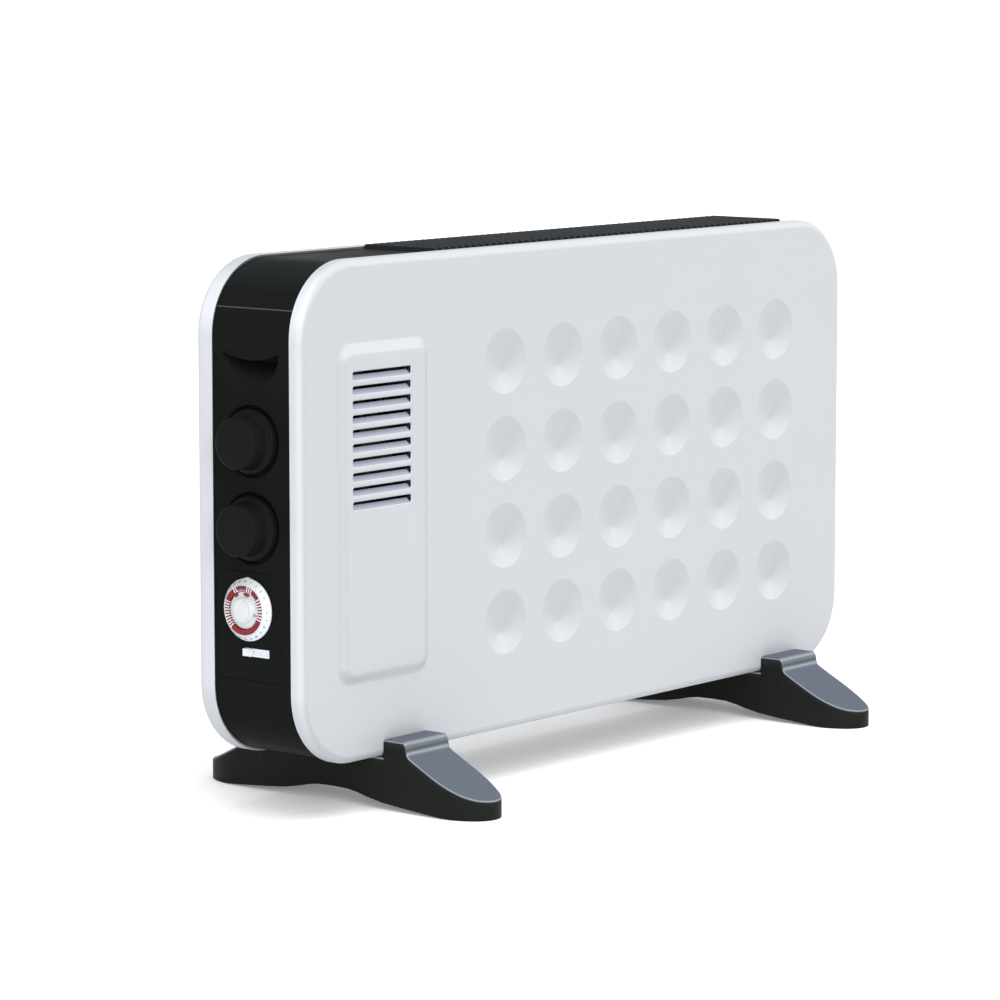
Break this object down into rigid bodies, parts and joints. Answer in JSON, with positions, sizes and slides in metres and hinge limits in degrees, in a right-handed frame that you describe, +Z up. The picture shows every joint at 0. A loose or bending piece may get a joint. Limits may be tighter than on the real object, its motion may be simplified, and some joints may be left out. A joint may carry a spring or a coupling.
{
  "type": "fan convector heater",
  "caption": "Free-standing fan convector heater: white dimpled front, black band with knobs and timer dial on one end, top grille, two cradle feet.",
  "frame": {"origin": "on the floor, under the middle of the bounding box", "axes": "+Z up, the dimpled front faces -Y, the end with the controls faces -X"},
  "size_m": [0.5734, 0.227, 0.338],
  "materials": {
    "panel_white": "satin moulded white, fine grain",
    "band_black": "satin black moulding",
    "grille_black": "matt black moulding",
    "knob_black": "satin black moulding",
    "foot_slate": "fine-grained slate grey moulding",
    "dial_white": "smooth white moulding",
    "segment_red": "smooth red moulding",
    "inner_grey": "plain dark moulding",
    "cream_plastic": "plain cream moulding",
    "gland_black": "plain black moulding",
    "steel": "galvanised sheet and turned steel",
    "screw_steel": "zinc plated",
    "motor_iron": "stacked laminations",
    "aluminium": "extruded",
    "copper": "wound enamelled wire",
    "ceramic": "unglazed",
    "wire_brown": "insulated lead",
    "wire_black": "insulated lead",
    "wire_blue": "insulated lead"
  },
  "bodies": {
    "case": {"base_tray": "grille_black", "cable_gland": "gland_black", "control_end_cap": "band_black", "element_bracket": "steel", "fan_bracket": "steel", "fan_motor_coil": "copper", "fan_motor_core": "motor_iron", "fan_shroud": "inner_grey", "foot_left": "foot_slate", "foot_right": "foot_slate", "foot_screw_1": "screw_steel", "foot_screw_2": "screw_steel", "foot_screw_3": "screw_steel", "foot_screw_4": "screw_steel", "front_panel": "panel_white", "heat_reflector": "steel", "heating_element_lower": "aluminium", "heating_element_upper": "aluminium", "insulator_lower_left": "ceramic", "insulator_lower_right": "ceramic", "insulator_upper_left": "ceramic", "insulator_upper_right": "ceramic", "mode_switch_plate": "dial_white", "outlet_louvre": "panel_white", "panel_screw_1": "screw_steel", "panel_screw_2": "screw_steel", "panel_screw_3": "screw_steel", "panel_screw_4": "screw_steel", "partition_plate": "steel", "plain_end_cap": "band_black", "rear_panel": "panel_white", "selector_body": "cream_plastic", "terminal_block": "cream_plastic", "thermal_cutout": "steel", "thermostat_body": "steel", "timer_case": "inner_grey", "timer_fascia": "band_black", "timer_hub": "dial_white", "timer_motor": "steel", "top_grille": "grille_black", "wire_selector_lower": "wire_black", "wire_selector_upper": "wire_black", "wire_terminal_fan": "wire_blue", "wire_terminal_timer": "wire_brown", "wire_timer_thermostat": "wire_brown"},
    "thermostat_control": {"thermostat_knob": "knob_black", "thermostat_spindle": "steel"},
    "selector_control": {"selector_knob": "knob_black", "selector_spindle": "steel"},
    "timer_wheel": {"timer_dial": "dial_white", "timer_segment_ring": "segment_red"},
    "mode_slider": {"mode_slider": "dial_white"},
    "fan_rotor": {"fan_impeller": "inner_grey", "fan_shaft": "steel"}
  },
  "joints": [
    {"name": "thermostat_turn", "type": "hinge", "parent": "case", "child": "thermostat_control", "pos_m": [-0.27175, 0, 0.2298], "axis": [1, 0, 0], "range_deg": [0, 300]},
    {"name": "selector_turn", "type": "hinge", "parent": "case", "child": "selector_control", "pos_m": [-0.27175, 0, 0.1775], "axis": [1, 0, 0], "range_deg": [0, 240]},
    {"name": "timer_turn", "type": "hinge", "parent": "case", "child": "timer_wheel", "pos_m": [-0.27175, 0.002, 0.1284], "axis": [1, 0, 0], "continuous": true},
    {"name": "mode_slide", "type": "slide", "parent": "case", "child": "mode_slider", "axis": [0, -1, 0], "range_m": [0, 0.0126]},
    {"name": "fan_spin", "type": "hinge", "parent": "case", "child": "fan_rotor", "pos_m": [-0.19575, 0, 0.23], "axis": [0, -1, 0], "continuous": true}
  ]
}
